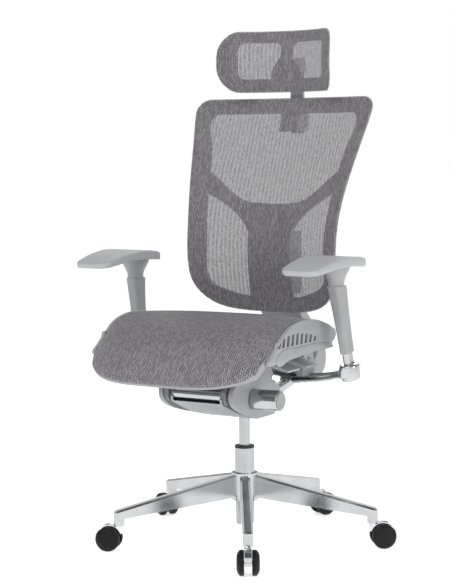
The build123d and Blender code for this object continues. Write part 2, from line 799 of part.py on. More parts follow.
def make_back_plate():
    """Y-shaped web between the windows: a broad column that forks into two arms."""
    with BuildPart() as plate:
        add(back_band(MESH_THICKNESS + SLIDE_GAP, BACK_SHELL))
        with BuildSketch(Plane.XZ):
            add(back_outline(BACK_RIM))
            # Upper window
            with BuildLine():
                Line((0, 1120), (300, 1120))
                Line((300, 1120), (300, 960))
                Spline((300, 960), (195, 928), (120, 868), (0, 840), tangents=((-1, -0.1), (-1, 0)))
                mirror(about=Plane.YZ)
            make_face(mode=Mode.SUBTRACT)
            # Lower windows, one each side of the column
            for side in SIDES.values():
                with BuildLine():
                    Line((side * 62, 540), (side * 62, 770))
                    Spline((side * 62, 770), (side * 80, 795), (side * 150, 850), (side * 230, 892))
                    Line((side * 230, 892), (side * 230, 540))
                    Line((side * 230, 540), (side * 62, 540))
                make_face(mode=Mode.SUBTRACT)
        extrude(amount=500, both=True, mode=Mode.INTERSECT)
    save(plate, "back_plate")


def make_back_carriage():
    """Box section behind the back that slides up the upright's tongue."""
    with BuildPart() as carriage:
        with Locations((0, 166, 690)):
            Box(2 * 56, 72, 160)
        add(back_band(-60, 60 + MESH_THICKNESS + SLIDE_GAP + BACK_SHELL), mode=Mode.SUBTRACT)
        with Locations((0, (TONGUE_FRONT + TONGUE_REAR) / 2, 690)):
            Box(2 * (TONGUE_HALF + SLIDE_GAP), TONGUE_REAR - TONGUE_FRONT + 2 * SLIDE_GAP, 200, mode=Mode.SUBTRACT)
    save(carriage, "back_carriage")


def make_headrest_guide():
    """Socket behind the top of the back for the headrest's stem."""
    with BuildPart() as guide:
        with Locations((0, 265, 1062)):
            Box(54, 66, 76)
        add(back_band(-80, 80 + MESH_THICKNESS + SLIDE_GAP + BACK_SHELL), mode=Mode.SUBTRACT)
        with Locations((0, HEAD_STEM_Y, 1062)):
            Box(2 * (HEAD_STEM_HALF + SLIDE_GAP), HEAD_STEM_DEPTH + 2 * SLIDE_GAP, 90, mode=Mode.SUBTRACT)
    save(guide, "headrest_guide")


# ---------------------------------------------------------------- headrest


def head_band(shift, thickness):
    """Curved sheet of the headrest, shift behind the face of its mesh."""
    sections = [(1122, 243, 84), (1204, 224, 79), (1286, 245, 83)]
    half = HEAD_HALF + 8
    with BuildPart() as band:
        for z, middle_y, dish in sections:
            radius = (HEAD_HALF**2 + dish**2) / (2 * dish)
            middle = middle_y + shift
            side_y = middle - (radius - sqrt(radius**2 - half**2))
            with BuildSketch(Plane.XY.offset(z)):
                with BuildLine():
                    front = ThreePointArc((-half, side_y), (0, middle), (half, side_y))
                    rear = ThreePointArc(
                        (-half, side_y + thickness), (0, middle + thickness), (half, side_y + thickness)
                    )
                    Line(front @ 0, rear @ 0)
                    Line(front @ 1, rear @ 1)
                make_face()
        loft()
    return band.part


def head_outline(inset):
    """The headrest's outline seen from the front: X across, Z up."""
    half = HEAD_HALF - inset
    wide = HEAD_CORNER_WIDE
    tall = HEAD_CORNER_TALL
    top = HEAD_MIDDLE_Z + HEAD_HEIGHT / 2 - inset
    bottom = HEAD_MIDDLE_Z - HEAD_HEIGHT / 2 + inset
    with BuildSketch() as outline:
        with BuildLine():
            Line((0, top), (half - wide, top))
            EllipticalCenterArc((half - wide, top - tall), wide, tall, 0, arc_size=90)
            Line((half, top - tall), (half, bottom + tall))
            EllipticalCenterArc((half - wide, bottom + tall), wide, tall, 270, arc_size=90)
            Line((half - wide, bottom), (0, bottom))
            mirror(about=Plane.YZ)
        make_face()
    return outline.sketch


def make_headrest_mesh():
    with BuildPart() as mesh:
        add(head_band(0, MESH_THICKNESS))
        with BuildSketch(Plane.XZ):
            add(head_outline(0))
        extrude(amount=500, both=True, mode=Mode.INTERSECT)
    save(mesh, "headrest_mesh")


def make_headrest_frame():
    with BuildPart() as frame:
        add(head_band(MESH_THICKNESS + SLIDE_GAP, 9))
        with BuildSketch(Plane.XZ):
            add(head_outline(0))
        extrude(amount=500, both=True, mode=Mode.INTERSECT)
        with BuildSketch(Plane.XZ):
            for side in SIDES.values():
                with Locations((side * 70.5, HEAD_MIDDLE_Z + 2)):
                    RectangleRounded(107, HEAD_HEIGHT - 2 * HEAD_RIM, 16)
            # Arched web round the bracket
            with Locations((0, HEAD_MIDDLE_Z - 46)):
                Ellipse(44, 56, mode=Mode.SUBTRACT)
        extrude(amount=500, both=True, mode=Mode.SUBTRACT)
    save(frame, "headrest_frame")


def make_headrest_bracket():
    """Two ears behind the frame's middle bar, with the pin that the headrest tips on."""
    with BuildPart() as bracket:
        for side in SIDES.values():
            with Locations((side * 24, 258, HEAD_PIVOT_Z)):
                Box(6, 50, 34)
        add(head_band(-80, 80 + MESH_THICKNESS + SLIDE_GAP + 9), mode=Mode.SUBTRACT)
        add(x_rod(HEAD_PIVOT_RADIUS, HEAD_PIVOT_Y, HEAD_PIVOT_Z, -27, 27))
    save(bracket, "headrest_bracket")


def make_headrest_stem():
    """Flat bar in the guide, cranked forward to the barrel that the headrest tips on."""
    low = 1020.0
    front = HEAD_STEM_Y - HEAD_STEM_DEPTH / 2
    rear = HEAD_STEM_Y + HEAD_STEM_DEPTH / 2
    with BuildPart() as stem:
        with BuildSketch(Plane.YZ):
            with BuildLine():
                Polyline(
                    (front, low),
                    (rear, low),
                    (rear, HEAD_PIVOT_Z - 20),
                    (HEAD_PIVOT_Y + 5, HEAD_PIVOT_Z + 6),
                    (HEAD_PIVOT_Y - 5, HEAD_PIVOT_Z - 6),
                    (front, HEAD_PIVOT_Z - 26),
                    close=True,
                )
            make_face()
        extrude(amount=HEAD_STEM_HALF, both=True)
        add(x_rod(9, HEAD_PIVOT_Y, HEAD_PIVOT_Z, -HEAD_STEM_HALF, HEAD_STEM_HALF))
        bore = HEAD_PIVOT_RADIUS + RUNNING_FIT
        add(x_rod(bore, HEAD_PIVOT_Y, HEAD_PIVOT_Z, -30, 30), mode=Mode.SUBTRACT)
    save(stem, "headrest_stem")


# ---------------------------------------------------------------- armrests


def make_arm_sleeves():
    """Tapering sleeve that slides on the post, closed at the top round the pad's swivel bore."""
    for name, side in SIDES.items():
        with BuildPart() as sleeve:
            for along, wide, deep in ((40, 27, 38), (120, 29, 42), (211, 34, 52)):
                with BuildSketch(post_plane(side, along)):
                    RectangleRounded(wide, deep, 11)
            loft()
            with BuildSketch(post_plane(side, 39)):
                RectangleRounded(18 + 2 * SLIDE_GAP, 28 + 2 * SLIDE_GAP, 6 + SLIDE_GAP)
            extrude(amount=139, mode=Mode.SUBTRACT)
            split(bisect_by=Plane.XY.offset(SWIVEL_SEAM), keep=Keep.BOTTOM)
            with BuildSketch(Plane((side * ARM_PIVOT[0], ARM_PIVOT[1], SWIVEL_SEAM - 23))):
                Circle(SWIVEL_PIN_RADIUS + RUNNING_FIT)
            extrude(amount=40, mode=Mode.SUBTRACT)
        save(sleeve, f"arm_sleeve_{name}")


def pad_side_view(top_shift, bottom_shift):
    """Arched side view of the arm pad: Y across, Z up."""
    top = [(-258, 703), (-225, 712), (-130, 728), (-50, 727), (-4, 717)]
    bottom = [(-258, 692), (-225, 695), (-130, 706), (-50, 704), (-4, 700)]
    with BuildSketch() as view:
        with BuildLine():
            upper = Spline(*[(y, z + top_shift) for y, z in top])
            lower = Spline(*[(y, z + bottom_shift) for y, z in bottom])
            Line(upper @ 0, lower @ 0)
            Line(upper @ 1, lower @ 1)
        make_face()
    return view.sketch


def make_arm_pads():
    for name, side in SIDES.items():
        with BuildPart() as pad:
            with BuildSketch(Plane.XY.offset(660)) as plan:
                with BuildLine():
                    Polyline((241, -250), (336, -250), (357, -60), (350, -4), (228, -4), (227, -60), close=True)
                make_face()
                fillet(plan.vertices().sort_by(Axis.Y)[:2], radius=24)
                fillet(plan.vertices().sort_by(Axis.Y)[-2:], radius=34)
            extrude(amount=100)
            with BuildSketch(Plane.YZ):
                add(pad_side_view(0, 0))
            extrude(amount=500, both=True, mode=Mode.INTERSECT)
            if side < 0:
                mirrored = pad.part.mirror(Plane.YZ)
                add(mirrored, mode=Mode.REPLACE)
        save(pad, f"arm_pad_{name}")


def make_arm_pad_bases():
    """Flared foot under each pad with the vertical pin that it swivels on."""
    for name, side in SIDES.items():
        x = side * ARM_PIVOT[0]
        y = ARM_PIVOT[1]
        with BuildPart() as base:
            for height, wide, deep in ((SWIVEL_SEAM + 0.3, 17, 26), (674, 19, 30), (692, 27, 41), (712, 31, 46)):
                with BuildSketch(Plane((x, y, height))):
                    Ellipse(wide, deep)
            loft()
            with BuildSketch(Plane.YZ):
                add(pad_side_view(200, -0.2))
            extrude(amount=500, both=True, mode=Mode.SUBTRACT)
            with BuildSketch(Plane((x, y, SWIVEL_SEAM - 22))):
                Circle(SWIVEL_PIN_RADIUS)
            extrude(amount=30)
        save(base, f"arm_pad_base_{name}")


def main():
    os.makedirs("parts", exist_ok=True)
    make_base_star()
    make_castor_sleeves()
    make_gas_outer_tube()
    make_gas_bush()
    make_gas_piston_rod()
    make_gas_pressure_tube()
    make_castors()
    make_mechanism_housing()
    make_mechanism_cover()
    make_front_bar()
    make_tilt_axle()
    make_tilt_springs()
    make_side_covers()
    make_tension_knob()
    make_seat_carrier()
    make_seat_mesh()
    make_seat_frame()
    make_seat_pan()
    make_seat_sides()
    make_levers()
    make_yoke()
    make_arm_posts()
    make_link_brackets()
    make_upright()
    make_upright_bolts()
    make_back_mesh()
    make_back_frame()
    make_back_plate()
    make_back_carriage()
    make_headrest_guide()
    make_headrest_mesh()
    make_headrest_frame()
    make_headrest_bracket()
    make_headrest_stem()
    make_arm_sleeves()
    make_arm_pads()
    make_arm_pad_bases()


main()
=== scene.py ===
"""Ergonomic mesh office chair with headrest, around its CAD frame. Metres, +Z up, the sitter faces -Y."""

import json
import math

import bmesh
import bpy
from mathutils import Matrix, Vector
from mathutils.bvhtree import BVHTree


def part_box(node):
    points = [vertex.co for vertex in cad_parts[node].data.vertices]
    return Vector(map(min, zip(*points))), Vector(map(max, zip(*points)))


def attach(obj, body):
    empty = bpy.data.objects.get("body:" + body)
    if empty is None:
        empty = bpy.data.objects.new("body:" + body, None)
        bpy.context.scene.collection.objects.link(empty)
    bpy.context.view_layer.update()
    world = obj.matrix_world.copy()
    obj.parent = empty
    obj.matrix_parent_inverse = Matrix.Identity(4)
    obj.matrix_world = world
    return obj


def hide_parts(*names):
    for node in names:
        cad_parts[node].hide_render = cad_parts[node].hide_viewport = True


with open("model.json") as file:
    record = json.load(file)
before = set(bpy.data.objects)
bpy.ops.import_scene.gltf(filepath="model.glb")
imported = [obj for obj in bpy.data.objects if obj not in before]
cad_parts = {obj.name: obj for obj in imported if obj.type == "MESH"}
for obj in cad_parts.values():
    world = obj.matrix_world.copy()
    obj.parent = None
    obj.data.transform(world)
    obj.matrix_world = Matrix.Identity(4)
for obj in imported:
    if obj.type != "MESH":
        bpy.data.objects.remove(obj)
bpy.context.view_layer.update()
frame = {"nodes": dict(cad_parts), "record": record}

SIDES = {"left": 1, "right": -1}

# ---------------------------------------------------------------- camera, light and stage

CAMERA_TURN = math.radians(30.4)
CAMERA_AWAY = 4.116
CAMERA_HEIGHT = 1.001
CAMERA_DOWN = math.radians(5.20)
CAMERA_LEFT = math.radians(0.60)
CAMERA_ROLL = math.radians(0.52)
CAMERA_LENS = 102.3

FLOOR_REACH = 40
FLOOR_GLOW = 0.6
STUDIO_PANEL_SCALE = 1.7
STUDIO_DARK = (0.11, 0.114, 0.118, 1)
STUDIO_BRIGHT = (1.02, 1.02, 1.02, 1)

# Name, place across, away from and above the camera's base line, aim in the chair's frame,
# width and height, and watts
LIGHTS = [
    ("key", (-1.5, -2.6, 3.0), (0, 0, 0.7), (1.4, 1.4), 50),
    ("fill", (2.8, -1.6, 1.6), (0, 0, 0.6), (1.2, 2.2), 22),
    ("rim", (0.6, 3.0, 2.6), (0, 0, 0.8), (2.4, 1.0), 30),
]


def camera_to_chair(x, y, z):
    """A vector across, away from and above the camera's base line, in the chair's frame."""
    c, s = math.cos(CAMERA_TURN), math.sin(CAMERA_TURN)
    return Vector((x * c - y * s, x * s + y * c, z))


def add_camera():
    place = camera_to_chair(0, -CAMERA_AWAY, CAMERA_HEIGHT)
    level = math.cos(CAMERA_DOWN)
    aside, ahead = -math.sin(CAMERA_LEFT) * level, math.cos(CAMERA_LEFT) * level
    forward = camera_to_chair(aside, ahead, -math.sin(CAMERA_DOWN))
    right = forward.cross(Vector((0, 0, 1))).normalized()
    up = right.cross(forward).normalized()
    c, s = math.cos(CAMERA_ROLL), math.sin(CAMERA_ROLL)
    x_axis = c * right - s * up
    y_axis = s * right + c * up
    camera = bpy.data.objects.new("camera", bpy.data.cameras.new("camera"))
    camera.data.lens = CAMERA_LENS
    camera.data.clip_end = 60
    turn = Matrix((x_axis, y_axis, -forward)).transposed().to_4x4()
    camera.matrix_world = Matrix.Translation(place) @ turn
    bpy.context.scene.collection.objects.link(camera)
    bpy.context.scene.camera = camera


def add_area_light(name, place, target, size, power):
    light = bpy.data.lights.new(name, "AREA")
    light.shape = "RECTANGLE"
    light.size, light.size_y = size
    light.energy = power
    lamp = bpy.data.objects.new(name, light)
    lamp.location = place
    lamp.rotation_euler = (Vector(target) - Vector(place)).to_track_quat("-Z", "Y").to_euler()
    bpy.context.scene.collection.objects.link(lamp)


def add_world():
    """White where the camera looks; what lights and mirrors is a studio with soft dark and bright panels."""
    world = bpy.data.worlds.new("studio")
    bpy.context.scene.world = world
    world.use_nodes = True
    tree = world.node_tree
    seen = tree.nodes["Background"]
    seen.inputs[0].default_value = (1, 1, 1, 1)
    studio = tree.nodes.new("ShaderNodeBackground")
    coordinate = tree.nodes.new("ShaderNodeTexCoord")
    panels = tree.nodes.new("ShaderNodeTexNoise")
    panels.inputs["Scale"].default_value = STUDIO_PANEL_SCALE
    panels.inputs["Detail"].default_value = 0.5
    tree.links.new(coordinate.outputs["Generated"], panels.inputs["Vector"])
    ramp = tree.nodes.new("ShaderNodeValToRGB")
    ramp.color_ramp.elements[0].position = 0.42
    ramp.color_ramp.elements[0].color = STUDIO_DARK
    ramp.color_ramp.elements[1].position = 0.56
    ramp.color_ramp.elements[1].color = STUDIO_BRIGHT
    tree.links.new(panels.outputs["Fac"], ramp.inputs[0])
    tree.links.new(ramp.outputs[0], studio.inputs[0])
    path = tree.nodes.new("ShaderNodeLightPath")
    mix = tree.nodes.new("ShaderNodeMixShader")
    tree.links.new(path.outputs["Is Camera Ray"], mix.inputs[0])
    tree.links.new(studio.outputs[0], mix.inputs[1])
    tree.links.new(seen.outputs[0], mix.inputs[2])
    tree.links.new(mix.outputs[0], tree.nodes["World Output"].inputs[0])


def add_floor():
    far = FLOOR_REACH
    corners = [(-far, -far, 0), (far, -far, 0), (far, far, 0), (-far, far, 0)]
    floor_mesh = bpy.data.meshes.new("floor")
    floor_mesh.from_pydata(corners, [], [(0, 1, 2, 3)])
    floor = bpy.data.objects.new("floor", floor_mesh)
    bpy.context.scene.collection.objects.link(floor)
    paper = new_material("floor_paper", (0.9, 0.9, 0.9), 0.9)
    shader_of(paper).inputs["Emission Color"].default_value = (1, 1, 1, 1)
    shader_of(paper).inputs["Emission Strength"].default_value = FLOOR_GLOW
    floor_mesh.materials.append(paper)


def add_studio():
    add_world()
    add_floor()
    for name, place, target, size, power in LIGHTS:
        add_area_light(name, camera_to_chair(*place), target, size, power)
    bpy.context.scene.view_settings.view_transform = "Standard"


# ---------------------------------------------------------------- materials


def new_material(name, color, roughness, metallic=0.0):
    material = bpy.data.materials.new(name)
    material.use_nodes = True
    shader = shader_of(material)
    shader.inputs["Base Color"].default_value = (*color, 1)
    shader.inputs["Roughness"].default_value = roughness
    shader.inputs["Metallic"].default_value = metallic
    return material


def shader_of(material):
    return material.node_tree.nodes["Principled BSDF"]


def node(material, kind, **values):
    made = material.node_tree.nodes.new("ShaderNode" + kind)
    for key, value in values.items():
        setattr(made, key, value)
    return made


def wire(material, out_socket, in_socket):
    material.node_tree.links.new(out_socket, in_socket)


def math_node(material, operation, first, second):
    """Result of a maths node on two sockets or numbers."""
    made = node(material, "Math", operation=operation)
    for index, value in enumerate((first, second)):
        if isinstance(value, (int, float)):
            made.inputs[index].default_value = value
        else:
            wire(material, value, made.inputs[index])
    return made.outputs[0]


def object_coordinates(material, scale=(1, 1, 1)):
    coordinate = node(material, "TexCoord")
    mapping = node(material, "Mapping")
    mapping.inputs["Scale"].default_value = scale
    wire(material, coordinate.outputs["Object"], mapping.inputs["Vector"])
    return mapping.outputs["Vector"]


def noise(material, vector, scale, detail=3.0):
    made = node(material, "TexNoise")
    made.inputs["Scale"].default_value = scale
    made.inputs["Detail"].default_value = detail
    wire(material, vector, made.inputs["Vector"])
    return made.outputs["Fac"]


def ramp_between(material, factor, low, high, start=0.3, end=0.7):
    """Colour or grey that runs from low to high as factor goes from start to end."""
    made = node(material, "ValToRGB")
    made.color_ramp.elements[0].position = start
    made.color_ramp.elements[1].position = end
    for element, value in zip(made.color_ramp.elements, (low, high)):
        element.color = (*value, 1) if hasattr(value, "__len__") else (value, value, value, 1)
    wire(material, factor, made.inputs[0])
    return made.outputs["Color"]


def bump(material, height, strength, distance):
    made = node(material, "Bump")
    made.inputs["Strength"].default_value = strength
    made.inputs["Distance"].default_value = distance
    wire(material, height, made.inputs["Height"])
    wire(material, made.outputs["Normal"], shader_of(material).inputs["Normal"])


def metal(name, low, high, rough_low, rough_high, stretch, grain, relief=0.05):
    """Polished or drawn metal: colour and roughness drift softly, with a fine directional grain."""
    material = new_material(name, high, rough_high, 1.0)
    soft = noise(material, object_coordinates(material), 14, 4)
    wire(material, ramp_between(material, soft, low, high), shader_of(material).inputs["Base Color"])
    fine = noise(material, object_coordinates(material, stretch), grain, 2)
    rough = ramp_between(material, fine, rough_low, rough_high)
    wire(material, rough, shader_of(material).inputs["Roughness"])
    bump(material, fine, relief, 0.0003)
    return material


def moulded_plastic(name, low, high, roughness, grain, relief=0.12):
    """Moulded plastic with a fine spark-eroded texture and faint flow shading."""
    material = new_material(name, high, roughness)
    soft = noise(material, object_coordinates(material), 9, 3)
    wire(material, ramp_between(material, soft, low, high), shader_of(material).inputs["Base Color"])
    fine = noise(material, object_coordinates(material), grain, 2)
    rough = ramp_between(material, fine, roughness - 0.06, roughness + 0.08)
    wire(material, rough, shader_of(material).inputs["Roughness"])
    bump(material, fine, relief, 0.0004)
    return material


THREAD_LENGTH = 0.0095
THREAD_PITCH = 0.0042
THREAD_GAP = 0.0007
THREAD_SWAY = 0.0034
SWAY_SCALE = 75
STRIPE_PITCH = 0.011
THREAD_LIGHT = (0.32, 0.308, 0.318, 1)
THREAD_DARK = (0.175, 0.168, 0.177, 1)
THREAD_BETWEEN = (0.03, 0.029, 0.032, 1)


def woven_mesh(name, cover, gap_cover, stripe_depth):
    """Elastic mesh of short staggered threads that waver; cover is how opaque the threads are."""
    material = new_material(name, (0.2, 0.19, 0.2), 0.72)
    cloth = node(material, "Attribute", attribute_name="weave").outputs["Vector"]
    sway = node(material, "TexNoise")
    sway.inputs["Scale"].default_value = SWAY_SCALE
    sway.inputs["Detail"].default_value = 1
    wire(material, cloth, sway.inputs["Vector"])
    centred = node(material, "VectorMath", operation="SUBTRACT")
    centred.inputs[1].default_value = (0.5, 0.5, 0.5)
    wire(material, sway.outputs["Color"], centred.inputs[0])
    scaled = node(material, "VectorMath", operation="SCALE")
    scaled.inputs["Scale"].default_value = THREAD_SWAY
    wire(material, centred.outputs[0], scaled.inputs[0])
    moved = node(material, "VectorMath", operation="ADD")
    wire(material, cloth, moved.inputs[0])
    wire(material, scaled.outputs[0], moved.inputs[1])
    split = node(material, "SeparateXYZ")
    wire(material, moved.outputs[0], split.inputs[0])
    turned = node(material, "CombineXYZ")
    wire(material, split.outputs["Y"], turned.inputs["X"])
    wire(material, split.outputs["X"], turned.inputs["Y"])
    threads = node(material, "TexBrick", offset=0.5)
    threads.inputs["Scale"].default_value = 1.0
    threads.inputs["Brick Width"].default_value = THREAD_LENGTH
    threads.inputs["Row Height"].default_value = THREAD_PITCH
    threads.inputs["Mortar Size"].default_value = THREAD_GAP
    threads.inputs["Mortar Smooth"].default_value = 0.6
    threads.inputs["Color1"].default_value = THREAD_LIGHT
    threads.inputs["Color2"].default_value = THREAD_DARK
    threads.inputs["Mortar"].default_value = THREAD_BETWEEN
    wire(material, turned.outputs[0], threads.inputs["Vector"])
    wire(material, threads.outputs["Color"], shader_of(material).inputs["Base Color"])
    relief = math_node(material, "SUBTRACT", 1.0, threads.outputs["Fac"])
    bump(material, relief, 0.7, 0.0006)
    shader_of(material).inputs["Sheen Weight"].default_value = 0.15
    if cover < 1:
        stripes = node(material, "TexWave")
        stripes.inputs["Scale"].default_value = math.pi / (10 * STRIPE_PITCH)
        stripes.inputs["Distortion"].default_value = 1.4
        stripes.inputs["Detail"].default_value = 1
        stripes.inputs["Detail Scale"].default_value = 0.6
        wire(material, cloth, stripes.inputs["Vector"])
        stripe = math_node(material, "MULTIPLY", stripes.outputs["Fac"], stripe_depth)
        opening = math_node(material, "MULTIPLY", threads.outputs["Fac"], cover - gap_cover)
        through = math_node(material, "ADD", stripe, opening)
        wire(material, math_node(material, "SUBTRACT", cover, through), shader_of(material).inputs["Alpha"])
    return material


# Name, colour from and to, roughness from and to, stretch of the grain and its scale
METALS = [
    ("polished_aluminium", (0.46, 0.465, 0.47), (0.56, 0.565, 0.57), 0.12, 0.22, (1, 1, 1), 400),
    ("cast_aluminium", (0.36, 0.365, 0.37), (0.43, 0.435, 0.44), 0.42, 0.55, (1, 1, 1), 400),
    ("bright_steel", (0.40, 0.405, 0.41), (0.5, 0.5, 0.505), 0.2, 0.3, (1, 1, 0.04), 900),
    ("castor_chrome", (0.6, 0.605, 0.61), (0.74, 0.74, 0.75), 0.05, 0.12, (1, 1, 1), 400),
]

# Name, colour from and to, roughness, scale of the texture
PLASTICS = [
    ("castor_black", (0.005, 0.005, 0.005), (0.009, 0.009, 0.01), 0.5, 1400),
    ("black_plastic", (0.006, 0.006, 0.006), (0.012, 0.012, 0.012), 0.45, 1400),
    ("painted_steel", (0.16, 0.16, 0.165), (0.2, 0.2, 0.205), 0.4, 700),
    ("grey_plastic", (0.315, 0.322, 0.33), (0.36, 0.367, 0.375), 0.42, 1400),
    ("pad_polyurethane", (0.40, 0.407, 0.415), (0.45, 0.455, 0.46), 0.5, 700),
]
WHEEL_SHINE = 0.22


def make_materials():
    made = {row[0]: metal(*row) for row in METALS}
    made.update({row[0]: moulded_plastic(*row) for row in PLASTICS})
    shader_of(made["castor_black"]).inputs["Specular IOR Level"].default_value = WHEEL_SHINE
    made["mesh_fabric"] = woven_mesh("mesh_fabric", 0.95, 0.72, 0.13)
    made["seat_fabric"] = woven_mesh("seat_fabric", 1.0, 1.0, 0.0)
    return made


# Nodes whose surface is left as cast, unlike the rest of their slot
AS_CAST = ["mechanism_housing"]


def paint_cad_nodes(materials):
    for part in frame["record"]["subparts"]:
        cad_object = frame["nodes"][part["node"]]
        cad_object.data.materials.clear()
        finish = "cast_aluminium" if part["node"] in AS_CAST else part["material_slot"]
        cad_object.data.materials.append(materials[finish])


# ---------------------------------------------------------------- building pieces


def add_piece(name, mesh, body, material, replaced=()):
    """Link one visual piece, smooth shaded, give it its body and finish, and hide the CAD nodes it stands in
    for.
    """
    mesh.materials.clear()
    mesh.materials.append(material)
    for polygon in mesh.polygons:
        polygon.use_smooth = True
    piece = bpy.data.objects.new(name, mesh)
    bpy.context.scene.collection.objects.link(piece)
    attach(piece, body)
    if replaced:
        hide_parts(*replaced)
    return piece


def surface_tree(node_name):
    work = bmesh.new()
    work.from_mesh(frame["nodes"][node_name].data)
    tree = BVHTree.FromBMesh(work)
    work.free()
    return tree


PANEL_CELLS = 72
ARC_STEP = 0.006
ACROSS_STEPS = 60
ALONG_STEPS = 80
EDGE_TURNS = 720
EDGE_HALVINGS = 12
PULL_STEPS = 40
PULL = 0.0005
SMOOTH_ROUNDS = 3

LIP_SHOWN = 0.006
LIP_STEP = 0.0005
LIP_LONGEST = 0.04
LIP_SHARES = (0.25, 0.5, 0.75, 1.0)
LIP_ROUNDS = 4
PROBE_START = 0.03
PROBE_LENGTH = 0.06
CLOTH = 0.0017

# In what follows, hit(a, b) is the point of a face at flat coordinates from its middle, or None outside it


def distances_along(hit, step, count):
    """Length over the face from its middle, at each of count steps to either side."""
    table = {0: 0.0}
    for way in (1, -1):
        last = hit(0, 0)
        for index in range(1, count + 1):
            place = hit(way * index * step[0], way * index * step[1])
            extra = (place - last).length if place and last else math.hypot(*step)
            table[way * index] = table[way * (index - 1)] + way * extra
            last = place or last
    return table


def look_up(table, position):
    low = math.floor(position)
    low = max(min(table), min(max(table) - 1, low))
    return table[low] + (table[low + 1] - table[low]) * (position - low)


def edge_distance(hit, turn):
    """How far the face goes from its middle, at a turn."""
    a, b = math.cos(turn), math.sin(turn)
    low = 0.0
    while hit(a * (low + ARC_STEP), b * (low + ARC_STEP)) is not None:
        low += ARC_STEP
    high = low + ARC_STEP
    for _ in range(EDGE_HALVINGS):
        middle = (low + high) / 2
        if hit(a * middle, b * middle) is None:
            high = middle
        else:
            low = middle
    return low


def outline_reach(hit):
    """A function that says how far the face goes from its middle in the direction a, b."""
    edges = [edge_distance(hit, math.tau * index / EDGE_TURNS) for index in range(EDGE_TURNS)]

    def reach(a, b):
        place = (math.atan2(b, a) / math.tau % 1) * EDGE_TURNS
        low = math.floor(place)
        first, second = edges[low % EDGE_TURNS], edges[(low + 1) % EDGE_TURNS]
        return first + (second - first) * (place - low)

    return reach


def nearest_hit(hit, a, b):
    """The face at a point, or just inside its edge where the point falls a hair outside it."""
    for pull in range(PULL_STEPS):
        inwards = 1 - PULL * pull
        place = hit(a * inwards, b * inwards)
        if place:
            return place


def add_face_grid(work, weave, hit, half):
    """Sheet of quads over the face: its vertices and their flat coordinates, by column and row."""
    cells = PANEL_CELLS
    reach = outline_reach(hit)
    across = distances_along(hit, (ARC_STEP, 0), ACROSS_STEPS)
    along = distances_along(hit, (0, ARC_STEP), ALONG_STEPS)
    grid, flats = {}, {}
    for i in range(cells + 1):
        for j in range(cells + 1):
            u, v = 2 * i / cells - 1, 2 * j / cells - 1
            share = max(abs(u), abs(v))
            a, b = u * half[0], v * half[1]
            length = math.hypot(a, b) or 1
            distance = share * reach(a / length, b / length) if share else 0
            flat_a, flat_b = a / length * distance, b / length * distance
            vertex = work.verts.new(nearest_hit(hit, flat_a, flat_b))
            vertex[weave] = (look_up(across, flat_a / ARC_STEP), look_up(along, flat_b / ARC_STEP), 0)
            grid[i, j] = vertex
            flats[i, j] = flat_a, flat_b
    for i in range(cells):
        for j in range(cells):
            work.faces.new((grid[i, j], grid[i + 1, j], grid[i + 1, j + 1], grid[i, j + 1]))
    inner = [grid[i, j] for i in range(1, cells) for j in range(1, cells)]
    everywhere = {"use_axis_x": True, "use_axis_y": True, "use_axis_z": True}
    for _ in range(SMOOTH_ROUNDS):
        bmesh.ops.smooth_vert(work, verts=inner, factor=0.5, **everywhere)
    return grid, flats


def edge_places():
    """Columns and rows of a sheet's edge, once round."""
    cells = PANEL_CELLS
    places = [(i, 0) for i in range(cells)] + [(cells, j) for j in range(cells)]
    return places + [(i, cells) for i in range(cells, 0, -1)] + [(0, j) for j in range(cells, 0, -1)]


def edge_directions(grid, edge, headings, weave):
    """At each place of the edge, the way on outwards, first in space and then in the weave."""
    last = PANEL_CELLS - 1
    count = len(edge)
    outwards, threads_on = [], []
    for (i, j), heading in zip(edge, headings):
        within = grid[min(max(i, 1), last), min(max(j, 1), last)]
        way = grid[i, j].co - within.co
        outwards.append((way - heading * way.dot(heading)).normalized())
        threads_on.append((grid[i, j][weave] - within[weave]).normalized())
    evened = []
    for k in range(count):
        evened.append((outwards[k - 1] + outwards[k] + outwards[(k + 1) % count]).normalized())
    return evened, threads_on


def lip_hit(tree, place, heading):
    """Where a short line through the place meets the frame, or None."""
    return tree.ray_cast(place - heading * PROBE_START, heading, PROBE_LENGTH)[0]


def lip_reach(tree, base, out, heading):
    """How far the cloth goes past its edge over the frame's lip, before the frame's own rim shows."""
    reach = 0.0
    while reach < LIP_LONGEST and lip_hit(tree, base + out * (reach + LIP_STEP), heading):
        reach += LIP_STEP
    return max(LIP_STEP, reach - LIP_SHOWN)


def lip_place(tree, base, out, heading, distance):
    """Point of the cloth that far past its edge, one cloth's thickness off the frame."""
    while distance > 0:
        place = lip_hit(tree, base + out * distance, heading)
        if place:
            return place - heading * CLOTH
        distance -= LIP_STEP
    return base + out * LIP_STEP


def lip_layers(lip_node, starts, outwards, headings):
    """Rings of places over the frame's lip, from the cloth's edge to where the frame's rim shows."""
    tree = surface_tree(lip_node)
    count = len(starts)
    reaches = [lip_reach(tree, starts[k], outwards[k], headings[k]) for k in range(count)]
    for _ in range(LIP_ROUNDS):
        reaches = [(reaches[k - 1] + reaches[k] + reaches[(k + 1) % count]) / 3 for k in range(count)]
    layers = []
    for share in LIP_SHARES:
        layer = []
        for k in range(count):
            layer.append(lip_place(tree, starts[k], outwards[k], headings[k], reaches[k] * share))
        layers.append(layer)
    return layers


def add_rings(work, weave, ring, layers, threads_on):
    """Turned edge of the sheet: a ring of vertices for each layer, joined to the ring before."""
    count = len(ring)
    for layer in layers:
        following = []
        for k in range(count):
            vertex = work.verts.new(layer[k])
            vertex[weave] = ring[k][weave] + threads_on[k] * (layer[k] - ring[k].co).length
            following.append(vertex)
        for k in range(count):
            after = (k + 1) % count
            work.faces.new((ring[k], following[k], following[after], ring[after]))
        ring = following


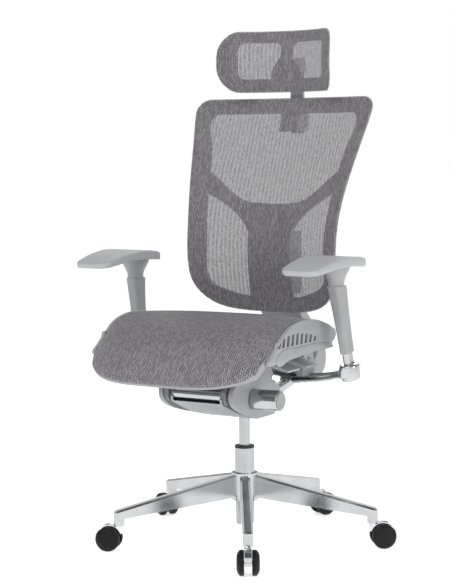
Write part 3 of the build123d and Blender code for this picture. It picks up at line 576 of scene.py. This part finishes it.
def make_panel(name, node_name, body, ray, centre, half, wraps, material, lip_node=None):
    """One mesh sheet over the face of a CAD node, edge to edge, turned round the rim behind it.

    ray(a, b) is the line that meets the face at the flat coordinates a and b; wraps lists how far each
    ring of the turned edge goes outwards and backwards. Over lip_node the cloth first runs on past the edge.
    """
    tree = surface_tree(node_name)

    def line(a, b):
        return ray(centre[0] + a, centre[1] + b)

    def hit(a, b):
        return tree.ray_cast(*line(a, b))[0]

    work = bmesh.new()
    weave = work.verts.layers.float_vector.new("weave")
    grid, flats = add_face_grid(work, weave, hit, half)
    edge = edge_places()
    ring = [grid[place] for place in edge]
    headings = [line(*flats[place])[1] for place in edge]
    outwards, threads_on = edge_directions(grid, edge, headings, weave)
    starts = [vertex.co.copy() for vertex in ring]
    layers = lip_layers(lip_node, starts, outwards, headings) if lip_node else []
    starts = layers[-1] if layers else starts
    for out, back in wraps:
        layers.append([starts[k] + outwards[k] * out + headings[k] * back for k in range(len(edge))])
    add_rings(work, weave, ring, layers, threads_on)
    bmesh.ops.recalc_face_normals(work, faces=work.faces[:])
    mesh = bpy.data.meshes.new(name)
    work.to_mesh(mesh)
    work.free()
    return add_piece(name, mesh, body, material, [node_name])


def line_along_y(a, b):
    return Vector((a, -2, b)), Vector((0, 1, 0))


SEAT_AXIS = Vector((0, -0.12, 0.47))
SEAT_FAN = 0.2


def line_to_seat_axis(a, b):
    """A line in the side view's plane towards an axis inside the seat; b is the turn, times a radius."""
    turn = b / SEAT_FAN
    outwards = Vector((0, math.cos(turn), math.sin(turn)))
    return SEAT_AXIS + Vector((a, 0, 0)) + outwards, -outwards


# How far each ring of a turned edge goes outwards and backwards
BACK_WRAPS = [(0.0018, 0.0010), (0.0027, 0.004), (0.0026, 0.0085)]
HEADREST_WRAPS = [(0.0016, 0.0010), (0.0025, 0.005), (0.0024, 0.0115)]
SEAT_WRAPS = [(0.0003, 0.0008), (0.0003, 0.0016)]

SEAT_MIDDLE_TURN = math.radians(102)
SEAT_HALF_TURN = math.radians(80)


def upright_spans(node_name):
    """Middle and half size of a node's box, in X and Z."""
    low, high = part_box(node_name)
    return (0.0, (low[2] + high[2]) / 2), ((high[0] - low[0]) / 2, (high[2] - low[2]) / 2)


def make_mesh_panels(materials):
    cloth = materials["mesh_fabric"]
    spans = upright_spans("back_mesh")
    back = make_panel("back_panel", "back_mesh", "back", line_along_y, *spans, BACK_WRAPS, cloth)

    spans = upright_spans("headrest_mesh")
    name, node_name = "headrest_panel", "headrest_mesh"
    head = make_panel(name, node_name, "headrest", line_along_y, *spans, HEADREST_WRAPS, cloth)

    low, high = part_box("seat_mesh")
    spans = (0.0, SEAT_MIDDLE_TURN * SEAT_FAN), ((high[0] - low[0]) / 2, SEAT_HALF_TURN * SEAT_FAN)
    cloth = materials["seat_fabric"]
    name, node_name = "seat_panel", "seat_mesh"
    seat = make_panel(name, node_name, "seat", line_to_seat_axis, *spans, SEAT_WRAPS, cloth, "seat_frame")


# ---------------------------------------------------------------- soft and cast pieces


PAD_VOXEL = 0.003
PAD_ROUNDS = 10
YOKE_VOXEL = 0.0026
YOKE_ROUNDS = 6


def baked(source):
    """Mesh of a work object with its modifiers applied; the object is removed."""
    bpy.context.scene.collection.objects.link(source)
    graph = bpy.context.evaluated_depsgraph_get()
    mesh = bpy.data.meshes.new_from_object(source.evaluated_get(graph))
    bpy.data.objects.remove(source)
    return mesh


def rounded_copy(name, node_name, voxel, rounds):
    """The CAD node's shape remeshed evenly, with its edges softened by smoothing."""
    source = bpy.data.objects.new(name + "_work", frame["nodes"][node_name].data.copy())
    remesh = source.modifiers.new("even", "REMESH")
    remesh.mode = "VOXEL"
    remesh.voxel_size = voxel
    smooth = source.modifiers.new("soften", "SMOOTH")
    smooth.factor = 0.5
    smooth.iterations = rounds
    shape = baked(source)
    shape.name = name
    return shape


def make_arm_pads(materials):
    slot = "pad_polyurethane"
    for side in SIDES:
        name, node_name = f"arm_cushion_{side}", f"arm_pad_{side}"
        shape = rounded_copy(name, node_name, PAD_VOXEL, PAD_ROUNDS)
        pad = add_piece(name, shape, f"armrest_top_{side}", materials[slot], [node_name])


def make_castings(materials):
    slot = "polished_aluminium"
    shape = rounded_copy("yoke_casting", "yoke", YOKE_VOXEL, YOKE_ROUNDS)
    add_piece("yoke_casting", shape, "back_support", materials[slot], ["yoke"])


# ---------------------------------------------------------------- seat side covers

# Side view of a cover, Y and Z: its upper edge from the front to the rear, then its lower edge back
COVER_OUTLINE = [
    (-0.306, 0.494), (-0.288, 0.512), (-0.256, 0.537), (-0.222, 0.561), (-0.180, 0.575), (-0.130, 0.580),
    (-0.080, 0.577), (-0.038, 0.567), (0.003, 0.552), (0.024, 0.538), (0.022, 0.524), (-0.014, 0.512),
    (-0.074, 0.504), (-0.143, 0.500), (-0.209, 0.496), (-0.286, 0.491),
]
RAIL_OUTLINE = [
    (-0.272, 0.494), (-0.256, 0.514), (-0.171, 0.519), (-0.079, 0.520), (-0.020, 0.514), (-0.012, 0.511),
    (-0.074, 0.503), (-0.143, 0.499), (-0.209, 0.495),
]
VENT_FIRST_Y = -0.260
VENT_PITCH = 0.0218
VENT_WIDTH = 0.0125
VENT_FOOT = 0.5265
VENT_TOPS = [0.541, 0.547, 0.551, 0.553, 0.553, 0.551, 0.548, 0.544, 0.538]
VENT_SLANT = 0.004
VENT_TOP_FALL = 0.001
# Side view of the black sheet behind the vents: painted shade, a dark plate standing in for the shaded
# inside of the seat seen through them
SHADE_SHEET_OUTLINE = [
    (-0.269, 0.521), (-0.262, 0.532), (-0.23, 0.547), (-0.19, 0.557), (-0.13, 0.56), (-0.07, 0.55),
    (-0.066, 0.521),
]
COVER_BEVEL = 0.0012
SHADE_SHEET_BEVEL = 0.0004
# How far each plate's faces lie from the CAD cover's inner or outer face
COVER_GAP = 0.001
RAIL_SUNK = 0.002
RAIL_PROUD = 0.0022
SHADE_SHEET_INSIDE = 0.0015
SHADE_SHEET_OUTSIDE = 0.0012
WELD = 0.00002
FOLD_LIMIT = math.radians(35)


def flat_plate(name, outline, holes, x_low, x_high, bevel):
    """A plate across X with rounded edges, from closed outlines in the side view."""
    curve = bpy.data.curves.new(name, "CURVE")
    curve.dimensions = "2D"
    curve.fill_mode = "BOTH"
    curve.extrude = (x_high - x_low) / 2 - bevel
    curve.bevel_depth = bevel
    curve.bevel_resolution = 2
    curve.offset = -bevel
    curve.resolution_u = 8
    spline = curve.splines.new("BEZIER")
    spline.bezier_points.add(len(outline) - 1)
    for point, place in zip(spline.bezier_points, outline):
        point.co = (*place, 0)
        point.handle_left_type = point.handle_right_type = "AUTO"
    spline.use_cyclic_u = True
    for hole in holes:
        opening = curve.splines.new("POLY")
        opening.points.add(len(hole) - 1)
        for point, place in zip(opening.points, hole):
            point.co = (*place, 0, 1)
        opening.use_cyclic_u = True
    mesh = baked(bpy.data.objects.new(name + "_work", curve))
    to_side_view = Matrix(((0, 0, 1, (x_low + x_high) / 2), (1, 0, 0, 0), (0, 1, 0, 0), (0, 0, 0, 1)))
    mesh.transform(to_side_view)
    work = bmesh.new()
    work.from_mesh(mesh)
    bmesh.ops.remove_doubles(work, verts=work.verts[:], dist=WELD)
    bmesh.ops.recalc_face_normals(work, faces=work.faces[:])
    work.to_mesh(mesh)
    work.free()
    return mesh


def vent_holes():
    holes = []
    for index, top in enumerate(VENT_TOPS):
        left = VENT_FIRST_Y + index * VENT_PITCH - VENT_WIDTH / 2
        right = left + VENT_WIDTH
        head = [(right + VENT_SLANT, top), (left + VENT_SLANT + VENT_TOP_FALL, top - VENT_TOP_FALL)]
        holes.append([(left, VENT_FOOT), (right, VENT_FOOT)] + head)
    return holes


def shade_by_angle(piece):
    """Smooth across gentle folds only."""
    work = bmesh.new()
    work.from_mesh(piece.data)
    sharp = [len(edge.link_faces) != 2 or edge.calc_face_angle(0) > FOLD_LIMIT for edge in work.edges]
    work.free()
    for edge, is_sharp in zip(piece.data.edges, sharp):
        edge.use_edge_sharp = is_sharp


def make_seat_covers(materials):
    grey, black = materials["grey_plastic"], materials["black_plastic"]
    for name, side in SIDES.items():
        node_name = f"seat_side_{name}"
        low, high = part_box(node_name)
        inner, outer = (low[0], high[0]) if side > 0 else (high[0], low[0])
        ends = sorted((inner + side * COVER_GAP, outer))
        shape = flat_plate(f"seat_cover_{name}", COVER_OUTLINE, vent_holes(), *ends, COVER_BEVEL)
        shade_by_angle(add_piece(f"seat_cover_{name}", shape, "seat", grey, [node_name]))
        ends = sorted((outer - side * RAIL_SUNK, outer + side * RAIL_PROUD))
        shape = flat_plate(f"seat_rail_{name}", RAIL_OUTLINE, [], *ends, COVER_BEVEL)
        shade_by_angle(add_piece(f"seat_rail_{name}", shape, "seat", grey))
        # Black sheet just inside the cover, behind the vents: painted shade for the dark inside seen through
        # them
        ends = sorted((inner - side * SHADE_SHEET_INSIDE, inner + side * SHADE_SHEET_OUTSIDE))
        shape = flat_plate(f"vent_lining_{name}", SHADE_SHEET_OUTLINE, [], *ends, SHADE_SHEET_BEVEL)
        add_piece(f"vent_lining_{name}", shape, "seat", black)


# ---------------------------------------------------------------- scene

add_camera()
add_studio()
materials = make_materials()
paint_cad_nodes(materials)
make_mesh_panels(materials)
make_arm_pads(materials)
make_castings(materials)
make_seat_covers(materials)
